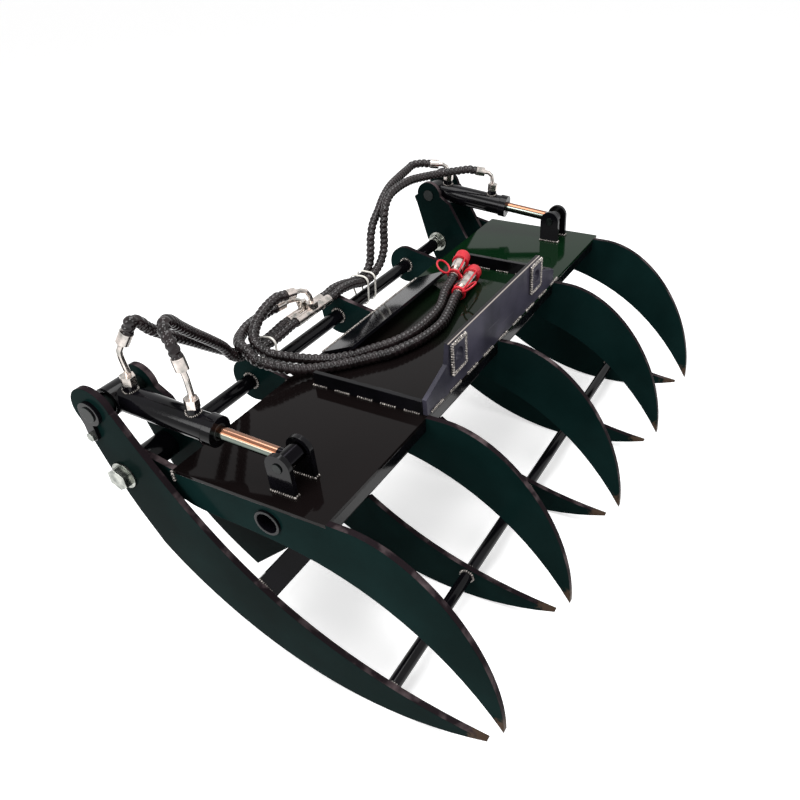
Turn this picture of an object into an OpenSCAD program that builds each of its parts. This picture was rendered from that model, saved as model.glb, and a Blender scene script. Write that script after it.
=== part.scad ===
// Root grapple for a compact loader: five fixed tines on a base plate, a five-tined
// jaw hinged at the back, and two hydraulic cylinders that open it.
// X runs along the hinge, +Y points to the hinge side, +Z up from the base plate.
// The origin is the middle of the face that the loader's plate bears on.

/* [Base plate] */
// Width of the base plate
plate_w = 1067; // [960:1:1200]
// Depth from the hinge side to the front edge
plate_d = 268; // [250:1:290]
// Plate thickness
plate_t = 6; // [5:0.5:8]
// From the loader mount's middle back to the plate's rear edge
mount_back = 150; // [140:1:160]
// Height of the stiffening bar under the front edge
front_bar_h = 19; // [12:1:25]
// Thickness of the stiffening bar
front_bar_t = 6; // [4:0.5:8]

/* [Fixed tines] */
// How far the far outer tine stands in from the plate's edge
far_inset = 17; // [0:0.5:20]
// Thickness of the tines' plate
tine_t = 10; // [8:0.5:12]
// From the plate's rear edge forward to the tips
tine_reach = 525; // [500:1:560]
// From the plate's top down to the tips
tine_drop = 304; // [280:1:340]
// Radius of the round lobe at the hinge
lobe_r = 40; // [36:1:44]
// Outer diameter of the torsion tube
torsion_od = 42; // [38:1:46]
// Wall of the torsion tube
torsion_wall = 4; // [3:0.5:5]
// Torsion tube's place forward of the rear edge
torsion_fwd = 166; // [155:1:175]
// Depth of the torsion tube's axis under the plate's top
torsion_drop = 35; // [33:1:37]

/* [Hinge] */
// Hinge axis behind the plate's rear edge
hinge_back = 83; // [80:1:88]
// Hinge axis below the plate's top
hinge_drop = 23; // [18:1:26]
// Diameter of the hinge bolts
bolt_d = 20; // [18:1:22]
// Size of the hexagons across flats
bolt_af = 32; // [30:1:34]
// Height of bolt head and nut
bolt_head_h = 12; // [10:1:14]
// Outer diameter of the hinge tube
hinge_tube_od = 26; // [22:1:30]
// Wall of the hinge tube
hinge_tube_wall = 3; // [2:0.5:4]
// Outer diameter of washers, spacers and collars
collar_d = 44; // [42:1:48]
// Washer thickness
washer_t = 3; // [3:0.5:5]
// Gap between a nut and the end of the hinge tube
tube_end_gap = 9; // [5:1:14]

/* [Jaw] */
// Sideways offset of the jaw from the outer fixed tines
jaw_shift = 20; // [18:0.5:24]
// How much closer together the jaw's tines stand than the fixed ones
jaw_closer = 5.25; // [0:0.25:8]
// From the hinge forward to the jaw tips
jaw_len = 591; // [570:1:610]
// From the hinge down to the jaw tips
jaw_fall = 285; // [270:1:300]
// From the hinge to the cylinders' base pins
lever_len = 108; // [104:1:112]
// Angle of that lever above the horizontal
lever_ang = 80; // [78:0.5:82]
// Radius of the arms' lobe round the base pin
jaw_lobe_r = 38; // [35:1:42]
// Radius of the inner ears' lobe round the base pin
ear_lobe_r = 29; // [27:1:35]
// Spacing from an outer arm to its inner ear
ear_in = 87; // [84:0.5:90]
// Spacing from the far arm to its inner ear
far_ear_in = 75; // [72:0.5:90]
// Width of the flat cross strip
strip_w = 38; // [34:1:42]
// Thickness of the cross strip
strip_t = 8; // [6:0.5:10]
// Slope of the cross strip
strip_ang = 48; // [44:1:52]
// Diameter of the round crossbar
crossbar_d = 22; // [18:1:24]

/* [Cylinders] */
// Clevis middle in from the plate's side
clevis_in = 52; // [50:0.5:54]
// Clevis pin forward of the plate's rear edge
clevis_fwd = 180; // [175:1:185]
// Clevis pin above the plate
clevis_rise = 46; // [44:1:50]
// Width of a clevis ear
clevis_ear_w = 42; // [38:1:46]
// Thickness of a clevis ear
clevis_ear_t = 8; // [6:0.5:9]
// Clear width between the clevis ears
clevis_gap = 38; // [36:0.5:42]
// Clevis pin diameter
clevis_pin_d = 16; // [14:0.5:18]
// Outer diameter of the rod's cross tube
rod_eye_od = 28; // [26:0.5:32]
// Rod diameter
rod_d = 20; // [18:0.5:22]
// Barrel outer diameter
barrel_od = 42; // [40:0.5:46]
// Barrel wall
barrel_wall = 4; // [3.5:0.5:5]
// Rod showing between cross tube axis and gland when closed
rod_shown = 112; // [104:1:116]
// Gland outer diameter
gland_od = 47; // [46:0.5:50]
// Gland head length
gland_l = 16; // [12:1:18]
// Base pin diameter
base_pin_d = 24; // [22:0.5:26]
// Outer diameter of the barrel's base eye
base_eye_od = 44; // [42:0.5:48]
// Length of the base eye
base_eye_l = 40; // [36:1:44]
// Thickness of the keeper flag on the base pin
flag_t = 6; // [4:0.5:8]

/* [Loader mount] */
// Half width of the pin plate at the foot
pin_plate_half = 262; // [240:1:280]
// Height of the pin plate
pin_plate_h = 87; // [80:1:95]
// Thickness of the pin plate
pin_plate_t = 8; // [6:0.5:10]
// Distance between the two lock pin holes
pin_hole_pitch = 318; // [300:1:330]
// Height of the lock pin holes above the base plate
pin_hole_z = 57; // [54:1:60]
// Diameter of the lock pin holes
pin_hole_d = 26; // [22:0.5:28]
// Half width of the hook lip
lip_half = 168; // [160:1:172]
// Length of the sloping hook lip
lip_l = 73; // [66:1:78]
// Thickness of the hook lip
lip_t = 6; // [5:0.5:7]
// Slope of the hook lip
lip_ang = 22; // [18:1:26]
// Height of the side rails
rail_h = 25; // [20:1:28]
// Thickness of the side rails
rail_t = 8; // [6:0.5:10]
// Length of the side rails
rail_l = 206; // [190:1:215]

/* [Hoses] */
// Outer diameter of the cylinder hoses in their spiral guard
port_hose_d = 18; // [15:0.5:18]
// Outer diameter of the coupler hoses in their spiral guard
coupler_hose_d = 20; // [16:0.5:20]
// Diameter of the crimped ferrules
ferrule_d = 19; // [18:0.5:21]
// Length of the crimped ferrules
ferrule_l = 19; // [16:1:24]
// Diameter of the bent steel tube at a hose end
stem_d = 9; // [8:0.5:11]
// Diameter of the coupler bodies
coupler_d = 27; // [24:0.5:29]
// Outer diameter of the dust caps
cap_d = 34; // [32:0.5:36]
// Length of the dust caps
cap_l = 28; // [26:1:32]

/* [Hidden] */
$fn = 64;
// Radial clearance of a shaft in its bore
fit = 0.05;
// Side clearance between faces of the two bodies
side_gap = 0.3;
// Overrun of every cut
cut = 1;
tine_n = 5;

y_rear = mount_back;
y_front = y_rear - plate_d;
x_edge = plate_w / 2;
hinge_y = y_rear + hinge_back;
hinge_z = -hinge_drop;
pin_y = hinge_y + lever_len * cos(lever_ang);
pin_z = hinge_z + lever_len * sin(lever_ang);
clevis_y = y_rear - clevis_fwd;
clevis_z = clevis_rise;
tine_pitch = (plate_w - tine_t) / (tine_n - 1);
last = tine_n - 1;
tine_x = [for (i = [0:last]) -x_edge + tine_t / 2 + i * tine_pitch - (i == last ? far_inset : 0)];
jaw_x = [for (i = [0:last]) tine_x[0] - jaw_shift + i * (tine_pitch - jaw_closer)];
ear_x = [jaw_x[0] + ear_in, jaw_x[last] - far_ear_in];
clevis_x = [-x_edge + clevis_in, x_edge - clevis_in];
arm_out = [jaw_x[0] - tine_t / 2, jaw_x[last] + tine_t / 2];
arm_in = [jaw_x[0] + tine_t / 2, jaw_x[last] - tine_t / 2];
ear_faces = [ear_x[0] + tine_t / 2, ear_x[1] - tine_t / 2];
ear_back = [ear_x[0] - tine_t / 2, ear_x[1] + tine_t / 2];
far_eye_in = 2;
eye_x = [for (k = [0, 1]) (arm_in[k] + ear_back[k]) / 2 - k * far_eye_in];
torsion_y = y_rear - torsion_fwd;
torsion_z = -torsion_drop;
bore_play = [fit, fit];

// Fixed tine outline as shares of reach and drop from the plate's rear top edge
tine_top_shares = [[-0.552, 0], [-0.79, 0.012], [-0.998, -0.5], [-1, -1]];
tine_low_shares = [[-1, -1], [-0.642, -0.003], [-0.143, -0.296], [-0.011, -0.181]];
// Jaw outline as shares of length and fall from the hinge
jaw_outer_shares = [[-0.052, -0.446], [-0.176, -0.789], [-0.531, -1.389], [-1, -1]];
jaw_inner_shares = [[-1, -1], [-0.374, -0.905], [-0.169, -0.098], [-0.036, 0.393]];
jaw_back_shares = [[0.049, 0.025], [-0.003, -0.242]];
// Places of strip and crossbar as shares of the same two sizes
strip_share = [-0.372, -0.54];
crossbar_share = [-0.724, -0.958];
curve_steps = 28;

// A point on a cubic curve through four control points
function bez(p, t) =
    pow(1 - t, 3) * p[0] + 3 * pow(1 - t, 2) * t * p[1]
    + 3 * (1 - t) * t * t * p[2] + pow(t, 3) * p[3];
function curve(p) = [for (i = [0:curve_steps]) bez(p, i / curve_steps)];
function at(shares, origin, size) =
    [for (s = shares) [origin[0] + s[0] * size[0], origin[1] + s[1] * size[1]]];

hinge_at = [hinge_y, hinge_z];
jaw_size = [jaw_len, jaw_fall];
strip_at = at([strip_share], hinge_at, jaw_size)[0];
crossbar_at = at([crossbar_share], hinge_at, jaw_size)[0];

// Stands a side view outline upright as a plate whose middle is at x
module upright(x, t) {
    translate([x - t / 2, 0, 0]) rotate([90, 0, 90]) linear_extrude(t) children();
}
// A round bar along X from x0, with its axis at p = [y, z]
module bar_x(x0, l, d, p) {
    translate([x0, p[0], p[1]]) rotate([0, 90, 0]) cylinder(d = d, h = l);
}
module ring_x(x0, l, d, bore, p) {
    difference() {
        bar_x(x0, l, d, p);
        bar_x(x0 - cut, l + 2 * cut, bore, p);
    }
}
module hex_x(x0, l, af, p) {
    translate([x0, p[0], p[1]]) rotate([0, 90, 0])
        cylinder(d = af / cos(30), h = l, $fn = 6);
}

// Fixed frame
module base_plate() {
    color("#15171a")
        translate([-x_edge, y_front, -plate_t]) cube([plate_w, plate_d, plate_t]);
}
module tine_outline() {
    from = [y_rear, 0];
    size = [tine_reach, tine_drop];
    top = curve(at(tine_top_shares, from, size));
    low = curve(at(tine_low_shares, from, size));
    difference() {
        union() {
            polygon(concat([hinge_at, [y_rear, 0]], top, low, [[hinge_y, hinge_z - lobe_r]]));
            polygon([hinge_at, [hinge_y, hinge_z + lobe_r], [y_rear, 0]]);
            translate(hinge_at) circle(lobe_r);
        }
        translate([y_front, -plate_t]) square([plate_d, plate_t + cut]);
    }
}
module fixed_tine(i) {
    outer = i == 0 || i == last;
    color("#12201f") difference() {
        upright(tine_x[i], tine_t) tine_outline();
        bar_x(tine_x[i] - tine_t, 2 * tine_t, (outer ? bolt_d : hinge_tube_od) + 2 * fit, hinge_at);
        bar_x(tine_x[i] - tine_t, 2 * tine_t, torsion_od + 2 * fit, [torsion_y, torsion_z]);
    }
}
module fixed_tine_1() { fixed_tine(0); }
module fixed_tine_2() { fixed_tine(1); }
module fixed_tine_3() { fixed_tine(2); }
module fixed_tine_4() { fixed_tine(3); }
module fixed_tine_5() { fixed_tine(4); }
module torsion_tube() {
    color("#15171a") ring_x(-x_edge - weld_stand, tine_out + x_edge + 2 * weld_stand,
        torsion_od, torsion_od - 2 * torsion_wall, [torsion_y, torsion_z]);
}
tine_out = tine_x[last] + tine_t / 2;
// How far the torsion tube stands proud of the outer tines
weld_stand = 4;
module front_bar() {
    color("#15171a") for (i = [0:last - 1])
        translate([tine_x[i] + tine_t / 2, y_front, -plate_t - front_bar_h])
            cube([tine_x[i + 1] - tine_x[i] - tine_t, front_bar_t, front_bar_h]);
}

// Loader mount
pin_plate_y = y_front + pin_plate_t;
// Foot height and shoulder of the pin plate's stepped ends
pin_plate_foot = 28;
pin_plate_step = 70;
pin_plate_shoulder = 53;
pin_plate_lean = 7;
pad_w = 48;
pad_h = 56;
pad_t = 5;
module pin_plate_half_outline() {
    step_x = pin_plate_half - pin_plate_step;
    polygon([[0, 0], [pin_plate_half, 0], [pin_plate_half, pin_plate_foot],
        [step_x, pin_plate_shoulder], [step_x - pin_plate_lean, pin_plate_h], [0, pin_plate_h]]);
}
module mount_pin_plate() {
    color("#1a1d20") difference() {
        union() {
            translate([0, pin_plate_y, 0]) rotate([90, 0, 0]) linear_extrude(pin_plate_t) {
                pin_plate_half_outline();
                mirror([1, 0]) pin_plate_half_outline();
            }
            for (side = [-1, 1])
                translate([side * pin_hole_pitch / 2 - pad_w / 2, y_front - pad_t, pin_hole_z - pad_h / 2])
                    cube([pad_w, pad_t, pad_h]);
        }
        for (side = [-1, 1])
            translate([side * pin_hole_pitch / 2, pin_plate_y + cut, pin_hole_z]) rotate([90, 0, 0])
                cylinder(d = pin_hole_d, h = pin_plate_t + pad_t + 2 * cut);
    }
}
module mount_hook_lip() {
    color("#15171a") intersection() {
        translate([-lip_half, y_rear, 0]) rotate([-lip_ang, 0, 0])
            translate([0, -lip_l, -lip_t]) cube([2 * lip_half, lip_l, lip_t]);
        translate([-lip_half, y_rear - lip_l, 0]) cube([2 * lip_half, lip_l, lip_l]);
    }
}
near_rail_x = -260;
far_rail_x = 268;
module mount_side_rails() {
    color("#15171a") for (x = [near_rail_x, far_rail_x])
        translate([x - rail_t / 2, pin_plate_y, 0]) cube([rail_t, rail_l, rail_h]);
}

// Hinge hardware, all on the fixed frame except the jaw's own collar
tine_in = [tine_x[0] + tine_t / 2, tine_x[last] - tine_t / 2];
loose_bore = bolt_d + 2 * fit;
near_nut_x = ear_faces[0] + side_gap + washer_t;
far_nut_x = ear_faces[1] - side_gap - washer_t - bolt_head_h;
near_head_x = arm_out[0] - side_gap - washer_t;
far_head_x = tine_out + washer_t;
bolt_tip = 4;
module hinge_bolts() {
    color("silver") {
        bar_x(near_head_x, near_nut_x + bolt_head_h + bolt_tip - near_head_x, bolt_d, hinge_at);
        hex_x(near_head_x - bolt_head_h, bolt_head_h, bolt_af, hinge_at);
        bar_x(far_nut_x - bolt_tip, far_head_x - far_nut_x + bolt_tip, bolt_d, hinge_at);
        hex_x(far_head_x, bolt_head_h, bolt_af, hinge_at);
    }
}
module hinge_nuts() {
    color("silver") for (x = [near_nut_x, far_nut_x]) difference() {
        hex_x(x, bolt_head_h, bolt_af, hinge_at);
        bar_x(x - cut, bolt_head_h + 2 * cut, loose_bore, hinge_at);
    }
}
module hinge_washers() {
    color("silver")
        for (x = [near_head_x, near_nut_x - washer_t, far_nut_x + bolt_head_h, tine_out])
            ring_x(x, washer_t, collar_d, loose_bore, hinge_at);
}
module hinge_collars() {
    color("#15171a") {
        ring_x(arm_in[0] + side_gap, -x_edge - arm_in[0] - side_gap, collar_d, loose_bore, hinge_at);
        ring_x(tine_in[0], ear_back[0] - side_gap - tine_in[0], collar_d, loose_bore, hinge_at);
        ring_x(arm_out[1] + side_gap, tine_in[1] - arm_out[1] - side_gap, collar_d, loose_bore, hinge_at);
    }
}
hinge_tube_x0 = near_nut_x + bolt_head_h + tube_end_gap;
hinge_tube_x1 = far_nut_x - tube_end_gap;
module hinge_tube() {
    color("#15171a") ring_x(hinge_tube_x0, hinge_tube_x1 - hinge_tube_x0,
        hinge_tube_od, hinge_tube_od - 2 * hinge_tube_wall, hinge_at);
}

// Jaw
module arm_outline() {
    outer = curve(at(jaw_outer_shares, hinge_at, jaw_size));
    inner = curve(at(jaw_inner_shares, hinge_at, jaw_size));
    back = at(jaw_back_shares, hinge_at, jaw_size);
    polygon(concat([[pin_y, pin_z + jaw_lobe_r / 2], [pin_y + jaw_lobe_r, pin_z]], back, outer, inner));
    translate([pin_y, pin_z]) circle(jaw_lobe_r);
}
// Everything on the tip side of the strip, or on the hinge side of it
module beyond_strip(toward_tip) {
    reach = jaw_len + jaw_fall;
    lo = toward_tip ? -reach : strip_w / 2 + fit;
    hi = toward_tip ? -strip_w / 2 - fit : reach;
    translate(strip_at) rotate(strip_ang) translate([lo, -reach]) square([hi - lo, 2 * reach]);
}
module jaw_arm(i) {
    p = [pin_y, pin_z];
    color("#12201f") difference() {
        upright(jaw_x[i], tine_t) arm_outline();
        bar_x(jaw_x[i] - tine_t, 2 * tine_t, loose_bore, hinge_at);
        bar_x(jaw_x[i] - tine_t, 2 * tine_t, base_pin_d + 2 * fit, p);
        translate([jaw_x[i], flag_bolt_at[0], flag_bolt_at[1]]) rotate([0, 90, 0])
            cylinder(d = flag_bolt_d + 2 * fit, h = 2 * tine_t, center = true);
    }
}
module jaw_arm_near() { jaw_arm(0); }
module jaw_arm_far() { jaw_arm(last); }
module jaw_tine(i) {
    color("#12201f") difference() {
        upright(jaw_x[i], tine_t) intersection() {
            arm_outline();
            beyond_strip(true);
        }
        bar_x(jaw_x[i] - tine_t, 2 * tine_t, crossbar_d + 2 * fit, crossbar_at);
    }
}
module jaw_tine_2() { jaw_tine(1); }
module jaw_tine_3() { jaw_tine(2); }
module jaw_tine_4() { jaw_tine(3); }
module ear_top() {
    translate([pin_y, pin_z]) circle(ear_lobe_r);
    polygon([[pin_y - ear_lobe_r, pin_z], [pin_y + ear_lobe_r, pin_z],
        [hinge_y + jaw_len, hinge_z - jaw_fall], [hinge_y - jaw_len, hinge_z - jaw_fall]]);
}
module jaw_ear(k) {
    color("#12201f") difference() {
        upright(ear_x[k], tine_t) intersection() {
            arm_outline();
            beyond_strip(false);
            ear_top();
        }
        bar_x(ear_x[k] - tine_t, 2 * tine_t, loose_bore, hinge_at);
        bar_x(ear_x[k] - tine_t, 2 * tine_t, base_pin_d + 2 * fit, [pin_y, pin_z]);
    }
}
module jaw_ear_near() { jaw_ear(0); }
module jaw_ear_far() { jaw_ear(1); }
module jaw_strip() {
    color("#15171a") translate([arm_in[0], strip_at[0], strip_at[1]]) rotate([strip_ang, 0, 0])
        translate([0, -strip_w / 2, -strip_t]) cube([arm_in[1] - arm_in[0], strip_w, strip_t]);
}
module jaw_crossbar() {
    color("#15171a") bar_x(arm_in[0], arm_in[1] - arm_in[0], crossbar_d, crossbar_at);
}
module jaw_collar() {
    color("#15171a") ring_x(ear_back[1], arm_in[1] - ear_back[1], collar_d, loose_bore, hinge_at);
}
// Keeper flag: a plate round the pin's end, with one small bolt below it
flag_r = 19;
flag_tail_r = 9;
flag_bolt_d = 8;
flag_bolt_af = 13;
flag_bolt_head = 5;
flag_tail = [10, -40];
flag_bolt_at = [pin_y + flag_tail[0], pin_z + flag_tail[1]];
pin_proud = 2;
pin_from = [arm_out[0] - flag_t - pin_proud, ear_faces[1] - pin_proud];
pin_to = [ear_faces[0] + pin_proud, arm_out[1] + flag_t + pin_proud];
flag_x = [arm_out[0] - flag_t, arm_out[1]];
module base_pins() {
    color("#20242a") for (k = [0, 1])
        bar_x(pin_from[k], pin_to[k] - pin_from[k], base_pin_d, [pin_y, pin_z]);
}
module pin_flags() {
    color("#15171a") for (k = [0, 1]) difference() {
        translate([flag_x[k], pin_y, pin_z]) rotate([90, 0, 90]) linear_extrude(flag_t) {
            circle(flag_r);
            translate(flag_tail) circle(flag_tail_r);
            polygon([[0, 0], [flag_r, 0], flag_tail + [flag_tail_r, 0], flag_tail - [flag_tail_r, 0]]);
        }
        bar_x(flag_x[k] - cut, flag_t + 2 * cut, base_pin_d + 2 * fit, [pin_y, pin_z]);
        bar_x(flag_x[k] - cut, flag_t + 2 * cut, flag_bolt_d + 2 * fit, flag_bolt_at);
    }
}
module flag_bolts() {
    heads = [flag_x[0] - flag_bolt_head, flag_x[1] + flag_t];
    shanks = [flag_x[0], arm_in[1]];
    color("silver") for (k = [0, 1]) {
        hex_x(heads[k], flag_bolt_head, flag_bolt_af, flag_bolt_at);
        bar_x(shanks[k], tine_t + flag_t, flag_bolt_d, flag_bolt_at);
    }
}

// Clevises on the base plate
clevis_out = clevis_gap / 2 + clevis_ear_t;
module clevis_ears() {
    color("#15171a") for (x = clevis_x, side = [-1, 1]) difference() {
        upright(x + side * (clevis_gap + clevis_ear_t) / 2, clevis_ear_t) {
            translate([clevis_y - clevis_ear_w / 2, 0]) square([clevis_ear_w, clevis_z]);
            translate([clevis_y, clevis_z]) circle(d = clevis_ear_w);
        }
        bar_x(x - clevis_out - cut, 2 * (clevis_out + cut), clevis_pin_d + 2 * fit, [clevis_y, clevis_z]);
    }
}
module clevis_pins() {
    color("#20242a") for (x = clevis_x)
        bar_x(x - clevis_out - pin_proud, 2 * (clevis_out + pin_proud), clevis_pin_d, [clevis_y, clevis_z]);
}

// Cylinders, drawn along +Y from the clevis pin and then tilted to the base pin
cyl_run = [for (k = [0, 1]) [eye_x[k] - clevis_x[k], pin_y - clevis_y, pin_z - clevis_z]];
cyl_len = [for (v = cyl_run) norm(v)];
cyl_tilt = [for (k = [0, 1]) asin(cyl_run[k][2] / cyl_len[k])];
cyl_skew = [for (v = cyl_run) atan2(-v[0], v[1])];
base_play = 4.5;
bore_d = barrel_od - 2 * barrel_wall;
base_wall = 12;
neck_from = rod_shown + gland_l;
gland_neck = 12;
piston_l = 22;
piston_room = 3;
piston_from = neck_from + gland_neck + piston_room;
spigot_d = 14;
piston_nut_l = 12;
piston_nut_af = 22;
seal_w = 6;
seal_depth = 3;
port_back = 24;
base_port_in = 26;
port_s = [for (l = cyl_len) [l - base_port_in, neck_from + port_back]];
boss_d = 20;
boss_h = 30;
port_hole_d = 8;
rod_eye_l = clevis_gap - 2 * side_gap;
module in_cylinder(k) {
    translate([clevis_x[k], clevis_y, clevis_z]) rotate([0, 0, cyl_skew[k]]) rotate([cyl_tilt[k], 0, 0])
        children();
}
module shaft(s, l, d) {
    translate([0, s, 0]) rotate([-90, 0, 0]) cylinder(d = d, h = l);
}
module sleeve(s, l, d, bore) {
    difference() {
        shaft(s, l, d);
        shaft(s - cut, l + 2 * cut, bore);
    }
}
module rod(k) {
    color("lightgray") difference() {
        union() {
            in_cylinder(k) {
                shaft(0, piston_from, rod_d);
                shaft(piston_from, piston_l + piston_nut_l, spigot_d);
            }
            bar_x(clevis_x[k] - rod_eye_l / 2, rod_eye_l, rod_eye_od, [clevis_y, clevis_z]);
        }
        bar_x(clevis_x[k] - rod_eye_l, 2 * rod_eye_l, clevis_pin_d + 2 * fit, [clevis_y, clevis_z]);
    }
}
module piston(k) {
    color("dimgray") in_cylinder(k) difference() {
        sleeve(piston_from, piston_l, bore_d - 2 * fit, spigot_d + 2 * fit);
        sleeve(piston_from + (piston_l - seal_w) / 2, seal_w, barrel_od, bore_d - 2 * seal_depth);
    }
}
module piston_seal(k) {
    color("#1c1c1c") in_cylinder(k) sleeve(piston_from + (piston_l - seal_w) / 2 + fit,
        seal_w - 2 * fit, bore_d - 2 * fit, bore_d - 2 * seal_depth + 2 * fit);
}
module piston_nut(k) {
    color("silver") in_cylinder(k) difference() {
        translate([0, piston_from + piston_l, 0]) rotate([-90, 0, 0])
            cylinder(d = piston_nut_af / cos(30), h = piston_nut_l, $fn = 6);
        shaft(piston_from, piston_l + piston_nut_l + cut, spigot_d + 2 * fit);
    }
}
module barrel(k) {
    eye_at = [pin_y, pin_z];
    barrel_end = cyl_len[k] - base_eye_od / 4;
    bore_end = cyl_len[k] - base_eye_od / 2 - base_wall;
    color("#15171a") difference() {
        union() {
            in_cylinder(k) {
                shaft(neck_from, barrel_end - neck_from, barrel_od);
                for (s = port_s[k]) translate([0, s, 0]) cylinder(d = boss_d, h = boss_h);
            }
            bar_x(eye_x[k] - base_eye_l / 2, base_eye_l, base_eye_od, eye_at);
        }
        in_cylinder(k) {
            shaft(neck_from - cut, bore_end - neck_from + cut, bore_d);
            translate([0, port_s[k][1], 0]) cylinder(d = port_hole_d, h = boss_h + cut);
            translate([0, port_s[k][0], bore_d / 2]) cylinder(d = port_hole_d, h = boss_h);
            shaft(bore_end - cut, port_s[k][0] - bore_end + cut, port_hole_d);
            translate([0, port_s[k][0], 0]) cylinder(d = port_hole_d, h = bore_d / 2 + cut);
        }
        bar_x(eye_x[k] - base_eye_l, 2 * base_eye_l, base_pin_d + 2 * base_play, eye_at);
    }
}
module gland(k) {
    color("#15171a") in_cylinder(k) difference() {
        union() {
            shaft(rod_shown, gland_l, gland_od);
            shaft(neck_from, gland_neck, bore_d - 2 * fit);
        }
        shaft(rod_shown - cut, gland_l + gland_neck + 2 * cut, rod_d + 2 * fit);
        shaft(rod_shown - cut, seal_w + cut, rod_d + 2 * seal_depth);
    }
}
module rod_wiper(k) {
    color("#1c1c1c") in_cylinder(k)
        sleeve(rod_shown, seal_w, rod_d + 2 * seal_depth - 2 * fit, rod_d + 2 * fit);
}
// Tubes swept along a route: a smooth curve through its points, and rings square to it
hose_sides = 8;
stem_sides = 12;
stem_step = 9;
function unit(v) = v / norm(v);
function spline(p, i, t) =
    let (a = p[max(i - 1, 0)], b = p[i], c = p[i + 1], d = p[min(i + 2, len(p) - 1)])
    (2 * b + (c - a) * t + (2 * a - 5 * b + 4 * c - d) * t * t
    + (3 * b - a - 3 * c + d) * t * t * t) / 2;
function trace(p, step) =
    [for (i = [0:len(p) - 2])
        let (n = max(round(norm(p[i + 1] - p[i]) / step), 1))
        for (k = [0:n - 1]) spline(p, i, k / n),
     p[len(p) - 1]];
function ways(q) =
    [for (i = [0:len(q) - 1]) unit(q[min(i + 1, len(q) - 1)] - q[max(i - 1, 0)])];
function square_to(n, t) = unit(n - (n * t) * t);
function normals(t) =
    [for (i = 0, n = square_to([0.3, 0.2, 1], t[0]); i < len(t);
        i = i + 1, n = i < len(t) ? square_to(n, t[i]) : n) n];
function rings(q, radii, sides) =
    let (t = ways(q), n = normals(t))
    [for (i = [0:len(q) - 1]) let (b = cross(t[i], n[i]))
        for (k = [0:sides - 1]) let (a = 360 * k / sides)
            q[i] + radii[i] * (cos(a) * n[i] + sin(a) * b)];
function skin(count, first, sides, flip) =
    [for (i = [0:count - 2], k = [0:sides - 1])
        let (a = first + i * sides + k,
             b = first + i * sides + (k + 1) % sides,
             c = a + sides, d = b + sides)
        for (f = [[a, b, d], [a, d, c]]) flip ? [f[2], f[1], f[0]] : f];
function rim(first, second, sides, flip) =
    [for (k = [0:sides - 1])
        let (a = first + k, b = first + (k + 1) % sides,
             c = second + k, d = second + (k + 1) % sides)
        for (f = [[a, c, d], [a, d, b]]) flip ? [f[2], f[1], f[0]] : f];
function lid(first, sides, flip) =
    [for (k = [1:sides - 2]) let (f = [first, first + k, first + k + 1]) flip ? [f[2], f[1], f[0]] : f];
module stem(route) {
    q = trace(route, stem_step);
    n = len(q);
    polyhedron(
        points = rings(q, [for (i = [0:n - 1]) stem_d / 2], stem_sides),
        faces = concat(skin(n, 0, stem_sides, true), lid(0, stem_sides, false),
            lid((n - 1) * stem_sides, stem_sides, true)));
}

// Nut, bent steel tube and crimped ferrule on each port
port_nut_l = 14;
port_nut_af = 19;
near_base_stem = [[-498, 222, 116], [-499, 222, 130], [-501, 221, 148], [-502, 218, 163],
    [-498, 211, 175]];
near_rod_stem = [[-491, 115, 101], [-491, 115, 114], [-491, 115, 128], [-491, 115, 140],
    [-491, 117, 152]];
far_base_stem = [[452, 221, 114], [452, 221, 127], [452, 226, 138], [449, 234, 143],
    [444, 242, 144]];
far_rod_stem = [[464, 115, 100], [464, 115, 114], [464, 117, 127], [461, 123, 134],
    [456, 131, 136]];
stems = [[near_base_stem, near_rod_stem], [far_base_stem, far_rod_stem]];
// Direction in which a bent tube ends, and the mouth of the ferrule on that end
function heading(s) = unit(s[len(s) - 1] - s[len(s) - 2]);
function mouth(s) = s[len(s) - 1] + heading(s) * ferrule_l;
module between(a, b, d, sides = $fn) {
    v = b - a;
    translate(a) rotate([0, acos(v[2] / norm(v)), atan2(v[1], v[0])])
        cylinder(d = d, h = norm(v), $fn = sides);
}
module port_fittings(k) {
    color("silver") for (j = [0, 1]) {
        in_cylinder(k) translate([0, port_s[k][j], boss_h])
            cylinder(d = port_nut_af / cos(30), h = port_nut_l, $fn = 6);
        stem(stems[k][j]);
        between(stems[k][j][len(stems[k][j]) - 1], mouth(stems[k][j]), ferrule_d);
    }
}
module near_rod() { rod(0); }
module near_piston() { piston(0); }
module near_piston_seal() { piston_seal(0); }
module near_piston_nut() { piston_nut(0); }
module near_barrel() { barrel(0); }
module near_gland() { gland(0); }
module near_rod_wiper() { rod_wiper(0); }
module near_port_fittings() { port_fittings(0); }
module far_rod() { rod(1); }
module far_piston() { piston(1); }
module far_piston_seal() { piston_seal(1); }
module far_piston_nut() { piston_nut(1); }
module far_barrel() { barrel(1); }
module far_gland() { gland(1); }
module far_rod_wiper() { rod_wiper(1); }
module far_port_fittings() { port_fittings(1); }

// Hoses: each is one ribbed tube swept along points chosen by hand
rib_depth = 1.2;
rib_step = 9;
hose_wall = 4;
bore_step = 34;
module hose(route, d) {
    outer = trace(route, rib_step);
    inner = trace(route, bore_step);
    n = len(outer);
    m = len(inner);
    outer_r = [for (i = [0:n - 1]) d / 2 - (i % 2) * rib_depth];
    inner_r = [for (i = [0:m - 1]) d / 2 - hose_wall];
    start = n * hose_sides;
    color("#1b1a1c") polyhedron(
        points = concat(rings(outer, outer_r, hose_sides), rings(inner, inner_r, hose_sides)),
        faces = concat(skin(n, 0, hose_sides, true), skin(m, start, hose_sides, false),
            rim(0, start, hose_sides, true),
            rim((n - 1) * hose_sides, start + (m - 1) * hose_sides, hose_sides, false)));
}
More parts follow.
